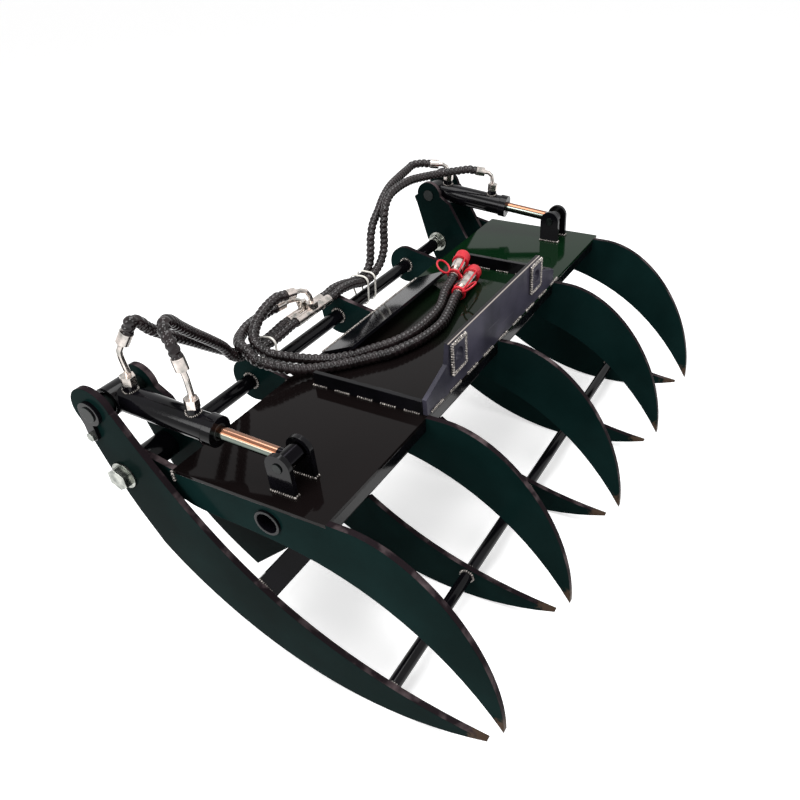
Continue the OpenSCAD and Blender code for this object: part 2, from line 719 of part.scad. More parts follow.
// The first or last points of a route: straight out of a mouth for one diameter
function lead(at, out, d) = [for (s = [0, 0.5, 1]) at + unit(out) * (fit + s * d)];
function lead_back(at, out, d) = [for (s = [1, 0.5, 0]) at + unit(out) * (fit + s * d)];
tee_x = -85;
tee_front = [228, 26];
tee_back = [247, 24];
ferrule_out = [-136, -34];
function tee_mouth(side, p) = [ferrule_out[side], p[0], p[1]];
near_base_route = concat(lead(mouth(near_base_stem), heading(near_base_stem), port_hose_d),
    [[-476, 194, 200], [-463, 198, 184], [-446, 203, 168], [-414, 214, 142], [-380, 224, 115], [-345, 233, 86],
    [-308, 241, 56], [-274, 246, 31], [-235, 246, 22], [-195, 246, 20]],
    lead_back(tee_mouth(0, tee_back), [-1, 0, 0], port_hose_d));
near_rod_route = concat(lead(mouth(near_rod_stem), heading(near_rod_stem), port_hose_d),
    [[-486, 135, 205], [-475, 143, 210], [-459, 152, 202], [-438, 164, 181], [-406, 180, 151],
    [-365, 198, 114], [-330, 212, 80], [-305, 223, 47], [-272, 227, 31], [-235, 227, 25],
    [-195, 227, 23]], lead_back(tee_mouth(0, tee_front), [-1, 0, 0], port_hose_d));
far_base_route = concat(lead(mouth(far_base_stem), heading(far_base_stem), port_hose_d),
    [[406, 287, 148], [385, 289, 144], [343, 284, 142], [284, 274, 139], [238, 264, 129],
    [203, 256, 114], [175, 252, 99], [157, 249, 77], [148, 247, 52], [138, 246, 26],
    [115, 246, 11], [75, 246, 13], [40, 246, 22], [8, 246.5, 26.5]],
    lead_back(tee_mouth(1, tee_back), [1, 0, 0], port_hose_d));
far_rod_route = concat(lead(mouth(far_rod_stem), heading(far_rod_stem), port_hose_d),
    [[420, 189, 141], [391, 213, 141], [340, 230, 146], [307, 236, 149], [268, 238, 149],
    [228, 237, 145], [206, 235, 134], [193, 233, 119], [181, 231, 90], [174, 229, 60],
    [164, 228, 40], [144, 227, 23], [108, 227, 11], [75, 227, 14], [45, 227, 23], [8, 228, 28]],
    lead_back(tee_mouth(1, tee_front), [1, 0, 0], port_hose_d));
module near_base_hose() { hose(near_base_route, port_hose_d); }
module near_rod_hose() { hose(near_rod_route, port_hose_d); }
module far_base_hose() { hose(far_base_route, port_hose_d); }
module far_rod_hose() { hose(far_rod_route, port_hose_d); }

// Tees that join a near hose, a far hose and a coupler hose, one for each circuit
tee_half = 25;
tee_d = 18;
tee_nut_d = 23;
tee_nut_l = 12;
tee_rise = 6;
branch_front = [[-85, 228, 26], [-85, 228, 43], [-86, 229, 57], [-91, 231, 67],
    [-101, 235, 72], [-116, 238, 74]];
branch_back = [[-85, 247, 24], [-86, 250, 35], [-89, 254, 43], [-98, 257, 48],
    [-110, 260, 50], [-122, 262, 50]];
module tee(p, branch) {
    translate([tee_x - tee_half, p[0], p[1]]) rotate([0, 90, 0]) cylinder(d = tee_d, h = 2 * tee_half);
    stem(branch);
    v = unit(branch[1] - branch[0]);
    between(branch[0] + v * tee_rise, branch[0] + v * (tee_rise + tee_nut_l), tee_nut_d, 6);
}
module tee_fittings() {
    color("silver") {
        tee(tee_front, branch_front);
        tee(tee_back, branch_back);
    }
}
module tee_ferrules() {
    color("silver") {
        for (p = [tee_front, tee_back]) {
            bar_x(ferrule_out[0], tee_x - tee_half - ferrule_out[0], ferrule_d, p);
            bar_x(tee_x + tee_half, ferrule_out[1] - tee_x - tee_half, ferrule_d, p);
        }
        for (b = [branch_front, branch_back]) between(b[len(b) - 1], mouth(b), ferrule_d);
    }
}

// Coupler hoses, couplers and caps
coupler_1_at = [158, 58, 22];
coupler_1_to = [208, 68, 31];
coupler_2_at = [100, 18, 17];
coupler_2_to = [184, 31, 18];
coupler_route_1 = concat(lead(mouth(branch_front), heading(branch_front), coupler_hose_d),
    [[-180, 244, 77], [-204, 242, 71], [-226, 238, 62], [-246, 228, 53], [-258, 214, 47],
    [-262, 199, 41], [-258, 184, 34], [-246, 172, 26], [-230, 158, 18], [-213, 132, 13],
    [-190, 98, 10.5], [-142, 64, 10.5], [-93, 37, 10.5], [-35, 25, 10.5], [40, 27, 13],
    [100, 45, 18]], lead_back(coupler_1_at, coupler_1_at - coupler_1_to, coupler_hose_d));
coupler_route_2 = concat(lead(mouth(branch_back), heading(branch_back), coupler_hose_d),
    [[-198, 266, 51], [-222, 262, 52], [-245, 255, 51], [-265, 243, 54], [-282, 227, 56],
    [-292, 205, 55], [-294, 187, 43], [-289, 168, 36], [-276, 150, 27], [-254, 126, 17],
    [-226, 100, 12], [-196, 73, 10.5], [-164, 47, 10.5], [-134, 24, 10.5], [-76, 2, 10.5],
    [-16, -6, 12], [30, 2, 13]], lead_back(coupler_2_at, coupler_2_at - coupler_2_to, coupler_hose_d));
module coupler_hose_1() { hose(coupler_route_1, coupler_hose_d); }
module coupler_hose_2() { hose(coupler_route_2, coupler_hose_d); }
coupler_nut_l = 22;
nose_d = 22;
nose_l = 22;
cap_wall = 3;
module coupler(a, b) {
    v = unit(b - a);
    between(a, a + v * coupler_nut_l, ferrule_d + 2);
    between(a + v * coupler_nut_l, b, coupler_d);
    between(b, b + v * nose_l, nose_d);
}
module couplers() {
    color("silver") {
        coupler(coupler_1_at, coupler_1_to);
        coupler(coupler_2_at, coupler_2_to);
    }
}
module cap(a, b) {
    v = unit(b - a);
    difference() {
        between(b + v * side_gap, b + v * cap_l, cap_d);
        between(b - v * cut, b + v * (nose_l + side_gap), nose_d + 2 * fit);
    }
}
module dust_cap_1() { color("#d3122a") cap(coupler_1_at, coupler_1_to); }
module dust_cap_2() { color("#d3122a") cap(coupler_2_at, coupler_2_to); }
// Each tether is a ring on the coupler's neck with a loop standing on it
tether_d = 4;
loop_r = 15;
loop_lean_1 = -50;
loop_lean_2 = 55;
module tether(a, b, lean) {
    v = unit(b - a);
    neck = a + v * coupler_nut_l / 3;
    translate(neck) rotate([0, acos(v[2]), atan2(v[1], v[0])]) {
        rotate_extrude() translate([(ferrule_d + tether_d) / 2 + 1.3, 0]) circle(d = tether_d, $fn = 16);
        rotate([0, 0, lean]) translate([-(ferrule_d / 2 + loop_r + tether_d / 2 + 1.3), 0, 0])
            rotate([90, 0, 0]) rotate_extrude() translate([loop_r, 0]) circle(d = tether_d, $fn = 16);
    }
}
module cap_tethers() {
    color("#d3122a") {
        tether(coupler_1_at, coupler_1_to, loop_lean_1);
        tether(coupler_2_at, coupler_2_to, loop_lean_2);
    }
}

// Nylon ties that hold the hoses on the hinge tube
tie_x = [-212, 82, 108];
tie_w = 4;
tie_t = 1.6;
tie_gap = 1;
hose_low = [[[246, 19], [227, 22]], [[246, 12], [227, 13]], [[246, 11], [227, 11]]];
module tie_outline(k, grow) {
    hull() {
        translate(hinge_at) circle(hinge_tube_od / 2 + grow, $fn = 32);
        for (p = hose_low[k]) translate(p) circle(port_hose_d / 2 + tie_gap + grow, $fn = 32);
    }
}
module cable_ties() {
    color("white") for (k = [0:len(tie_x) - 1]) upright(tie_x[k], tie_w) difference() {
        tie_outline(k, tie_gap + tie_t);
        tie_outline(k, tie_gap);
    }
}

base_plate();
fixed_tine_1();
fixed_tine_2();
fixed_tine_3();
fixed_tine_4();
fixed_tine_5();
torsion_tube();
front_bar();
mount_pin_plate();
mount_hook_lip();
mount_side_rails();
hinge_tube();
hinge_bolts();
hinge_nuts();
hinge_washers();
hinge_collars();
clevis_ears();
clevis_pins();
tee_fittings();
tee_ferrules();
coupler_hose_1();
coupler_hose_2();
couplers();
dust_cap_1();
dust_cap_2();
cap_tethers();
cable_ties();
jaw_arm_near();
jaw_arm_far();
jaw_tine_2();
jaw_tine_3();
jaw_tine_4();
jaw_ear_near();
jaw_ear_far();
jaw_strip();
jaw_crossbar();
jaw_collar();
base_pins();
pin_flags();
flag_bolts();
near_rod();
near_piston();
near_piston_seal();
near_piston_nut();
near_barrel();
near_gland();
near_rod_wiper();
near_port_fittings();
near_base_hose();
near_rod_hose();
far_rod();
far_piston();
far_piston_seal();
far_piston_nut();
far_barrel();
far_gland();
far_rod_wiper();
far_port_fittings();
far_base_hose();
far_rod_hose();
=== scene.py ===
import math
import bpy
import bmesh
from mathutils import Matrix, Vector


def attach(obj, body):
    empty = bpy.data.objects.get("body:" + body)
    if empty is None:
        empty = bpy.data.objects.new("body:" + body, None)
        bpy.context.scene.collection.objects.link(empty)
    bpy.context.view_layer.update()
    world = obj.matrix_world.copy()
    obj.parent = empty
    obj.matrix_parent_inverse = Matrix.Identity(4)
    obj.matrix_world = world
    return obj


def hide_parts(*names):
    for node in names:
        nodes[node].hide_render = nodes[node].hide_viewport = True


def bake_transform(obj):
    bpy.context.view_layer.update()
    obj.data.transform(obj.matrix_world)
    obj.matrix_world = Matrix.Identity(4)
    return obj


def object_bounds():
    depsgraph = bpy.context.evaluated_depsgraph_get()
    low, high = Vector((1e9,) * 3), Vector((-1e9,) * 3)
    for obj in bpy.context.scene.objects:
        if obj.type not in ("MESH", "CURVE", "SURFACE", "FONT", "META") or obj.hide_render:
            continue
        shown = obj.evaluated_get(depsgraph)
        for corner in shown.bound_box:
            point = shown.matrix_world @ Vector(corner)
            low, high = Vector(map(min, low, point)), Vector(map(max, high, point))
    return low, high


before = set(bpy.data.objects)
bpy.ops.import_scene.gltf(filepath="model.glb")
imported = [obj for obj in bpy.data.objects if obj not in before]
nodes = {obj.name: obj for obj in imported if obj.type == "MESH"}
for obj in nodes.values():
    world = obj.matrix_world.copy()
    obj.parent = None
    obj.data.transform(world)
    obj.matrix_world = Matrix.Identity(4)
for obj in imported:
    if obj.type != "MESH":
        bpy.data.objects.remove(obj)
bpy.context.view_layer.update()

# Camera: a studio photograph taken from the left front, looking down at 38 degrees.
# Its place and lens were worked out from the corners of the base plate and the tine tips.
camera = bpy.data.objects.new("camera", bpy.data.cameras.new("camera"))
bpy.context.scene.collection.objects.link(camera)
bpy.context.scene.camera = camera
camera.location = (-1.0536, -0.6108, 0.6560)
camera.rotation_euler = [math.radians(a) for a in (51.7185, 1.5204, -63.0329)]
camera.data.sensor_width = 36
camera.data.lens = 32.82
camera.data.shift_x = -0.0849
camera.data.shift_y = 0.0673


# Hydraulic hoses: rubber hose inside a black polypropylene spiral guard, crimped into
# zinc-plated ferrules. Two run from each cylinder to the tees over the hinge tube, and two
# longer ones run from the tees over the base plate to the couplers.
def linear(code):
    """The linear colour of an sRGB hex value, with full alpha"""
    parts = [int(code[i:i + 2], 16) / 255 for i in (1, 3, 5)]
    return tuple(p / 12.92 if p <= 0.04045 else ((p + 0.055) / 1.055) ** 2.4 for p in parts) + (1.0,)


def add(tree, kind, inputs=None, **settings):
    """Adds a node, with its settings and with values or other nodes' outputs on its inputs"""
    node = tree.nodes.new(kind)
    for name, value in settings.items():
        setattr(node, name, value)
    for name, value in (inputs or {}).items():
        if isinstance(value, bpy.types.NodeSocket):
            tree.links.new(value, node.inputs[name])
        else:
            node.inputs[name].default_value = value
    return node


def finish(name, **inputs):
    """A new material and its shader, with constant values on the shader's own sockets"""
    material = bpy.data.materials.new(name)
    material.use_nodes = True
    tree = material.node_tree
    shader = tree.nodes["Principled BSDF"]
    for socket, value in inputs.items():
        shader.inputs[socket.replace("_", " ")].default_value = value
    return material, tree, shader


def noise(tree, place, scale, detail):
    """Cloudy noise at a place"""
    cloud = add(tree, "ShaderNodeTexNoise", {"Vector": place, "Scale": scale, "Detail": detail})
    return cloud.outputs["Fac"]


def between(tree, value, low, high):
    """0 where a value is at low, 1 where it is at high, even in between"""
    part = add(tree, "ShaderNodeMapRange", {"Value": value, "From Min": low, "From Max": high})
    return part.outputs["Result"]


def mix(tree, share, first, second):
    """The first colour where share is 0, the second where it is 1"""
    blend = add(tree, "ShaderNodeMix", {0: share, 6: first, 7: second}, data_type="RGBA")
    return blend.outputs[2]


def mottled(tree, shader, first, second, scale):
    """Two colours in soft patches, on the piece's own coordinates; gives the mixed colour"""
    place = add(tree, "ShaderNodeTexCoord").outputs["Object"]
    tones = mix(tree, between(tree, noise(tree, place, scale, 4.0), 0.35, 0.65), first, second)
    tree.links.new(tones, shader.inputs["Base Color"])
    return tones


def grain(tree, shader, scale, distance, strength, rounded=0.0):
    """Fine relief in the surface, and rounded edges where rounded is over 0"""
    place = add(tree, "ShaderNodeTexCoord").outputs["Object"]
    bump = add(tree, "ShaderNodeBump", {
        "Height": noise(tree, place, scale, 3.0), "Distance": distance, "Strength": strength})
    if rounded:
        edge = add(tree, "ShaderNodeBevel", {"Radius": rounded}, samples=4)
        tree.links.new(edge.outputs["Normal"], bump.inputs["Normal"])
    tree.links.new(bump.outputs["Normal"], shader.inputs["Normal"])


# moulded polypropylene in two close brown-blacks, glossy enough to glint on each turn
guard_plastic, tree, shader = finish("spiral guard polypropylene, worn", Roughness=0.13, IOR=1.38)
mottled(tree, shader, linear("#120e0e"), linear("#231b1c"), 60)
grain(tree, shader, 900, 0.0002, 0.2)


def even_line(route, step):
    """Points about a step apart on the smooth curve through a route in millimetres

    Gives the points in metres and the curve's length.
    """
    pts = [Vector(p) / 1000 for p in route]
    fine = []
    for i in range(len(pts) - 1):
        a, b = pts[max(i - 1, 0)], pts[i]
        c, d = pts[i + 1], pts[min(i + 2, len(pts) - 1)]
        for k in range(24):
            t = k / 24
            fine.append((2 * b + (c - a) * t + (2 * a - 5 * b + 4 * c - d) * t * t
                         + (3 * b - a - 3 * c + d) * t * t * t) / 2)
    fine.append(pts[-1])
    total = sum((q - p).length for p, q in zip(fine, fine[1:]))
    count = max(2, round(total / step))
    line, walked, k = [fine[0]], 0.0, 0
    for n in range(1, count):
        want = total * n / count
        while walked + (fine[k + 1] - fine[k]).length < want:
            walked += (fine[k + 1] - fine[k]).length
            k += 1
        line.append(fine[k].lerp(fine[k + 1], (want - walked) / (fine[k + 1] - fine[k]).length))
    line.append(fine[-1])
    return line, total


# the bore is smooth, so it needs a ring at one point in twelve only
bore_every = 12


def swept(name, line, radius, sides, material, bore=None):
    """A tube along a line, solid or with a bore; radius gives its size at a run and an angle"""
    verts, faces = [], []
    ways = [(line[min(i + 1, len(line) - 1)] - line[max(i - 1, 0)]).normalized() for i in range(len(line))]
    side = ways[0].orthogonal().normalized()
    run = 0.0
    inner = []
    for i, (at, way) in enumerate(zip(line, ways)):
        side = (side - side.dot(way) * way).normalized()
        other = way.cross(side)
        run += (line[i] - line[i - 1]).length if i else 0.0
        for k in range(sides):
            a = 2 * math.pi * k / sides
            verts.append(at + (math.cos(a) * side + math.sin(a) * other) * radius(run, a))
        if bore and (i % bore_every == 0 or i == len(line) - 1):
            inner.append([at + (math.cos(a) * side + math.sin(a) * other) * bore
                          for a in (2 * math.pi * k / sides for k in range(sides))])
    for i in range(len(line) - 1):
        for k in range(sides):
            a, b = i * sides + k, i * sides + (k + 1) % sides
            faces.append((a, b, b + sides, a + sides))
    last = (len(line) - 1) * sides
    if bore:
        first = len(verts)
        for ring in inner:
            verts.extend(ring)
        for i in range(len(inner) - 1):
            for k in range(sides):
                a, b = first + i * sides + k, first + i * sides + (k + 1) % sides
                faces.append((a, a + sides, b + sides, b))
        end = first + (len(inner) - 1) * sides
        for k in range(sides):
            n = (k + 1) % sides
            faces.append((k, first + k, first + n, n))
            faces.append((last + k, last + n, end + n, end + k))
    else:
        faces.append(tuple(reversed(range(sides))))
        faces.append(tuple(last + k for k in range(sides)))
    mesh = bpy.data.meshes.new(name)
    mesh.from_pydata(verts, [], faces)
    mesh.polygons.foreach_set("use_smooth", [len(f) == 4 for f in faces])
    mesh.materials.append(material)
    piece = bpy.data.objects.new(name, mesh)
    bpy.context.scene.collection.objects.link(piece)
    return piece


# the guard is a flat strip wound on the hose, one turn every 10.5 mm; the strip covers 0.8
# of a turn and has rounded edges and a crowned face
guard_turn = 0.0105
guard_depth = 0.0015
strip_width = 0.80
strip_edge = 0.13
strip_crown = 0.0009


def guard_radius(size):
    """The guard's radius as a function of the run along the hose and the angle round it"""
    def at(run, angle):
        f = (run / guard_turn - angle / (2 * math.pi)) % 1.0
        rise = min(f, strip_width - f) / strip_edge
        rise = max(0.0, min(1.0, rise))
        rise = rise * rise * (3 - 2 * rise)
        crown = strip_crown * (2 * f / strip_width - 1) ** 2 * (f < strip_width)
        return size / 2 - guard_depth * (1 - rise) - crown
    return at


def ahead(at, way, distance):
    """The point at a distance from another in a direction"""
    way = Vector(way).normalized()
    return tuple(Vector(at) + way * distance)


# in millimetres: the two sizes of hose over the guard, the length of a crimped ferrule, the
# gap that keeps a hose clear of its ferrule, and the ends of the tees along X
port_size, coupler_size = 18, 20
crimp = 19
mouth_gap = 0.05
tee_left, tee_right = -136, -34
# two points on the stem of each fitting, which give its place and direction
stem_ends = {
    "near_base": ((-502, 218, 163), (-498, 211, 175)),
    "near_rod": ((-491, 115, 140), (-491, 117, 152)),
    "far_base": ((449, 234, 143), (444, 242, 144)),
    "far_rod": ((461, 123, 134), (456, 131, 136)),
    "front": ((-101, 235, 72), (-116, 238, 74)),
    "back": ((-110, 260, 50), (-122, 262, 50)),
}


def hose_route(stem, mids, end, end_way, size):
    """Straight out of the ferrule, along the points, and straight into the far fitting"""
    a, b = stem_ends[stem]
    way = Vector(b) - Vector(a)
    mouth = ahead(b, way, crimp)
    start = [ahead(mouth, way, mouth_gap + s * size) for s in (0, 0.5, 1)]
    close = [ahead(end, end_way, mouth_gap + s * size) for s in (1, 0.5, 0)]
    return start + list(mids) + close


hose_routes = {
    "near_base": hose_route("near_base", [
        (-476, 194, 200), (-463, 198, 184), (-446, 203, 168), (-414, 214, 142), (-380, 224, 115),
        (-345, 233, 86), (-308, 241, 56), (-274, 246, 31), (-235, 246, 22), (-195, 246, 20)],
        (tee_left, 247, 24), (-1, 0, 0), port_size),
    "near_rod": hose_route("near_rod", [
        (-486, 135, 205), (-475, 143, 210), (-459, 152, 202), (-438, 164, 181), (-406, 180, 151),
        (-365, 198, 114), (-330, 212, 80), (-305, 223, 47), (-272, 227, 31), (-235, 227, 25),
        (-195, 227, 23)],
        (tee_left, 228, 26), (-1, 0, 0), port_size),
    "far_base": hose_route("far_base", [
        (406, 287, 148), (385, 289, 144), (343, 284, 142), (284, 274, 139), (238, 264, 129),
        (203, 256, 114), (175, 252, 99), (157, 249, 77), (148, 247, 52), (138, 246, 26),
        (115, 246, 11), (75, 246, 13), (40, 246, 22), (8, 246.5, 26.5)],
        (tee_right, 247, 24), (1, 0, 0), port_size),
    "far_rod": hose_route("far_rod", [
        (420, 189, 141), (391, 213, 141), (340, 230, 146), (307, 236, 149), (268, 238, 149),
        (228, 237, 145), (206, 235, 134), (193, 233, 119), (181, 231, 90), (174, 229, 60),
        (164, 228, 40), (144, 227, 23), (108, 227, 11), (75, 227, 14), (45, 227, 23), (8, 228, 28)],
        (tee_right, 228, 26), (1, 0, 0), port_size),
    "coupler_1": hose_route("front", [
        (-180, 244, 77), (-204, 242, 71), (-226, 238, 62), (-246, 228, 53), (-258, 214, 47),
        (-262, 199, 41), (-258, 184, 34), (-246, 172, 26), (-230, 158, 18), (-213, 132, 13),
        (-190, 98, 10.5), (-142, 64, 10.5), (-93, 37, 10.5), (-35, 25, 10.5), (40, 27, 13),
        (100, 45, 18)],
        (158, 58, 22), (-50, -10, -9), coupler_size),
    "coupler_2": hose_route("back", [
        (-198, 266, 51), (-222, 262, 52), (-245, 255, 51), (-265, 243, 54), (-282, 227, 56),
        (-292, 205, 55), (-294, 187, 43), (-289, 168, 36), (-276, 150, 27), (-254, 126, 17),
        (-226, 100, 12), (-196, 73, 10.5), (-164, 47, 10.5), (-134, 24, 10.5), (-76, 2, 10.5),
        (-16, -6, 12), (30, 2, 13)],
        (100, 18, 17), (-84, -13, -1), coupler_size),
}
hose_cad = {"near_base": "near_base_hose", "near_rod": "near_rod_hose", "far_base": "far_base_hose",
            "far_rod": "far_rod_hose", "coupler_1": "coupler_hose_1", "coupler_2": "coupler_hose_2"}
# in metres: the spacing of the rings and the wall of guard and hose together
hose_step = 0.0014
hose_wall = 0.004
guard_sides = 18
for hose, route in hose_routes.items():
    on_coupler = hose.startswith("coupler")
    size = (coupler_size if on_coupler else port_size) / 1000
    line, run = even_line(route, hose_step)
    piece = swept(hose + "_guarded_hose", line, guard_radius(size), guard_sides, guard_plastic,
                  bore=size / 2 - hose_wall)
    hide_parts(hose_cad[hose])
    if on_coupler:
        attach(piece, "frame")
    else:
        side_name = hose.split("_")[0]
        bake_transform(piece)

# Base plate and tines: 6 mm and 10 mm mild steel plate, plasma cut, welded together and
# sprayed in gloss black enamel. The plate's colour holds a painted reflection, brown near the
# camera and green at the far end. The tines' green-black is a painted reflection too; they have
# chipped cut edges with painted highlights on them, and brown steel tips.
def maths(tree, operation, *values):
    """The result of a math node on one value or two"""
    return add(tree, "ShaderNodeMath", dict(enumerate(values)), operation=operation).outputs[0]


plate_enamel, tree, shader = finish("gloss black enamel on plate, painted reflection", Roughness=0.07, IOR=1.17)
place = add(tree, "ShaderNodeTexCoord").outputs["Object"]
split = add(tree, "ShaderNodeSeparateXYZ", {0: place})
# painted reflection: brown-black near the camera turning green towards the far end, along X with a wavy
# border
sway = maths(tree, "MULTIPLY", noise(tree, place, 5.0, 2.0), 0.28)
along = maths(tree, "ADD", split.outputs["X"], sway)
tones = mix(tree, between(tree, along, 0.05, 0.42), linear("#0f0b0b"), linear("#08200f"))
tree.links.new(tones, shader.inputs["Base Color"])
grain(tree, shader, 160, 0.0003, 0.05, rounded=0.0012)


def tine_enamel(name, first, second, tip):
    """Black enamel with a painted green reflection, chipped and painted with highlights along the cut
    edges, and rubbed to steel round the tip
    """
    material, tree, shader = finish(name, Roughness=0.16, IOR=1.10, Specular_IOR_Level=0.12)
    # the green in the two colours is a painted reflection on black enamel
    tones = mottled(tree, shader, linear(first), linear(second), 7)
    place = add(tree, "ShaderNodeTexCoord").outputs["Object"]
    split = add(tree, "ShaderNodeSeparateXYZ", {0: place})
    # worn steel within about 30 mm of the tip, with a ragged limit
    profile = add(tree, "ShaderNodeCombineXYZ", {"Y": split.outputs["Y"], "Z": split.outputs["Z"]})
    reach = add(tree, "ShaderNodeVectorMath", {0: profile.outputs[0], 1: (0, *tip)}, operation="DISTANCE")
    lift = maths(tree, "MULTIPLY", noise(tree, place, 120.0, 5.0), 0.05)
    worn = between(tree, maths(tree, "ADD", reach.outputs["Value"], lift), 0.058, 0.046)
    # the plate's two faces look along X, its cut edges don't
    facing = add(tree, "ShaderNodeTexCoord").outputs["Normal"]
    sideways = add(tree, "ShaderNodeSeparateXYZ", {0: facing})
    face = between(tree, maths(tree, "ABSOLUTE", sideways.outputs["X"]), 0.3, 0.8)
    # pale spots along the cut edges: partly chipped enamel, partly painted highlight
    rubbed = between(tree, noise(tree, place, 24.0, 5.0), 0.50, 0.66)
    rim_chips_and_highlight = mix(tree, rubbed, linear("#1f191c"), linear("#54494b"))
    enamel = mix(tree, face, rim_chips_and_highlight, tones)
    steel = mix(tree, worn, enamel, linear("#4b3d33"))
    tree.links.new(steel, shader.inputs["Base Color"])
    grain(tree, shader, 120, 0.0002, 0.05, rounded=0.0014)
    return material


# both tine colours hold a painted green reflection; the jaw's copy is a little darker
fixed_paint = tine_enamel("black enamel with painted green reflection, fixed tines", "#0a1b1a", "#0f2423", (-0.375, -0.304))
jaw_paint = tine_enamel("black enamel with painted green reflection, jaw", "#071514", "#0c1f1e", (-0.358, -0.308))


def dress(material, *names):
    """Gives pieces of the CAD one finish"""
    for name in names:
        nodes[name].data.materials.clear()
        nodes[name].data.materials.append(material)


dress(plate_enamel, "base_plate")
dress(fixed_paint, *["fixed_tine_%d" % i for i in range(1, 6)])
dress(jaw_paint, "jaw_arm_near", "jaw_arm_far", "jaw_tine_2", "jaw_tine_3", "jaw_tine_4",
      "jaw_ear_near", "jaw_ear_far")

# Tubes, bars, rails, clevises and cylinder barrels: rolled and turned steel in the same gloss
# black, blacker than the plate and wet-looking on round shapes.
round_enamel, tree, shader = finish("gloss black enamel on round steel", Roughness=0.10, IOR=1.25)
mottled(tree, shader, linear("#050506"), linear("#0d0c10"), 18)
grain(tree, shader, 220, 0.0003, 0.15, rounded=0.0012)
dress(round_enamel, "torsion_tube", "front_bar", "mount_hook_lip", "mount_side_rails", "hinge_tube",
      "hinge_collars", "clevis_ears", "jaw_strip", "jaw_crossbar", "jaw_collar", "pin_flags",
      "near_barrel", "near_gland", "far_barrel", "far_gland")

# Pin plate of the loader mount: 8 mm plate, rubbed by the loader until the enamel went
# grey-purple, with pale scratches, a dark top edge and bright steel on its front corner.
pin_plate_enamel, tree, shader = finish("rubbed enamel on the pin plate", Roughness=0.30, IOR=1.20)
tones = mottled(tree, shader, linear("#2c2b35"), linear("#44424f"), 14)
place = add(tree, "ShaderNodeTexCoord").outputs["Object"]
split = add(tree, "ShaderNodeSeparateXYZ", {0: place})
drawn = add(tree, "ShaderNodeMapping", {"Vector": place, "Rotation": (0, 0.5, 0), "Scale": (9, 60, 340)})
scratch = between(tree, noise(tree, drawn.outputs[0], 1.0, 6.0), 0.66, 0.78)
top = between(tree, split.outputs["Z"], 0.0855, 0.0868)
front = between(tree, split.outputs["Y"], -0.1155, -0.1165)
corner = maths(tree, "MULTIPLY", top, front)
rubbed = mix(tree, scratch, tones, linear("#6d6a72"))
shade = mix(tree, top, rubbed, linear("#1c1a1d"))
edged = mix(tree, corner, shade, linear("#a39a94"))
tree.links.new(edged, shader.inputs["Base Color"])
grain(tree, shader, 300, 0.0004, 0.25, rounded=0.0012)
dress(pin_plate_enamel, "mount_pin_plate")

# Weld beads: arc-welded seams, each a row of overlapping ripples 2.6 to 4.6 mm apart, left
# under a thin coat of black enamel. The pale metallic patches in the bead's colour are
# painted glints on that enamel, so that it shines on every ripple.
weld_coat_with_glints, tree, shader = finish("enamelled weld bead with painted glints", Roughness=0.12, Metallic=0.7)
# painted glints: near-black enamel mottled with pale metallic spots
mottled(tree, shader, linear("#232120"), linear("#b3aca6"), 300)
grain(tree, shader, 700, 0.0004, 0.4)
beads = bpy.data.node_groups.new("weld bead", "GeometryNodeTree")
for name, kind in (("Seams", "NodeSocketGeometry"), ("Ripple spacing", "NodeSocketFloat"),
                   ("Bead radius", "NodeSocketFloat"), ("Coat", "NodeSocketMaterial")):
    beads.interface.new_socket(name, in_out="INPUT", socket_type=kind)
beads.interface.new_socket("Beads", in_out="OUTPUT", socket_type="NodeSocketGeometry")
given = beads.nodes.new("NodeGroupInput").outputs
seam = add(beads, "GeometryNodeMeshToCurve", {"Mesh": given["Seams"]})
spots = add(beads, "GeometryNodeCurveToPoints", {
    "Curve": seam.outputs[0], "Length": given["Ripple spacing"]}, mode="LENGTH")
ripple = add(beads, "GeometryNodeMeshUVSphere", {
    "Segments": 8, "Rings": 6, "Radius": given["Bead radius"]})
placed = add(beads, "GeometryNodeInstanceOnPoints", {
    "Points": spots.outputs["Points"], "Instance": ripple.outputs[0],
    "Rotation": spots.outputs["Rotation"], "Scale": (1.0, 1.0, 0.62)})
real = add(beads, "GeometryNodeRealizeInstances", {"Geometry": placed.outputs[0]})
soft = add(beads, "GeometryNodeSetShadeSmooth", {"Geometry": real.outputs[0]})
coated = add(beads, "GeometryNodeSetMaterial", {"Geometry": soft.outputs[0], "Material": given["Coat"]})
add(beads, "NodeGroupOutput", {0: coated.outputs[0]})


def weld(name, body, seams, radius=0.0030, spacing=0.0036):
    """Runs a bead along each seam, a list of points in millimetres"""
    verts, edges = [], []
    for line in seams:
        first = len(verts)
        verts.extend(Vector(p) / 1000 for p in line)
        edges.extend((first + i, first + i + 1) for i in range(len(line) - 1))
    mesh = bpy.data.meshes.new(name + "_seams")
    mesh.from_pydata(verts, edges, [])
    piece = bpy.data.objects.new(name, mesh)
    bpy.context.scene.collection.objects.link(piece)
    modifier = piece.modifiers.new("beads", "NODES")
    modifier.node_group = beads
    ids = {s.name: s.identifier for s in beads.interface.items_tree if s.in_out == "INPUT"}
    modifier[ids["Ripple spacing"]] = spacing
    modifier[ids["Bead radius"]] = radius
    modifier[ids["Coat"]] = weld_coat_with_glints
    bpy.context.view_layer.update()
    dressed = piece.evaluated_get(bpy.context.evaluated_depsgraph_get())
    made = bpy.data.meshes.new_from_object(dressed)
    piece.modifiers.clear()
    piece.data = made
    made.name = name
    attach(piece, body)


def ring(x, y, z, radius):
    """A seam round a bar along X"""
    turns = [2 * math.pi * k / 28 for k in range(29)]
    return [(x, y + radius * math.cos(a), z + radius * math.sin(a)) for a in turns]


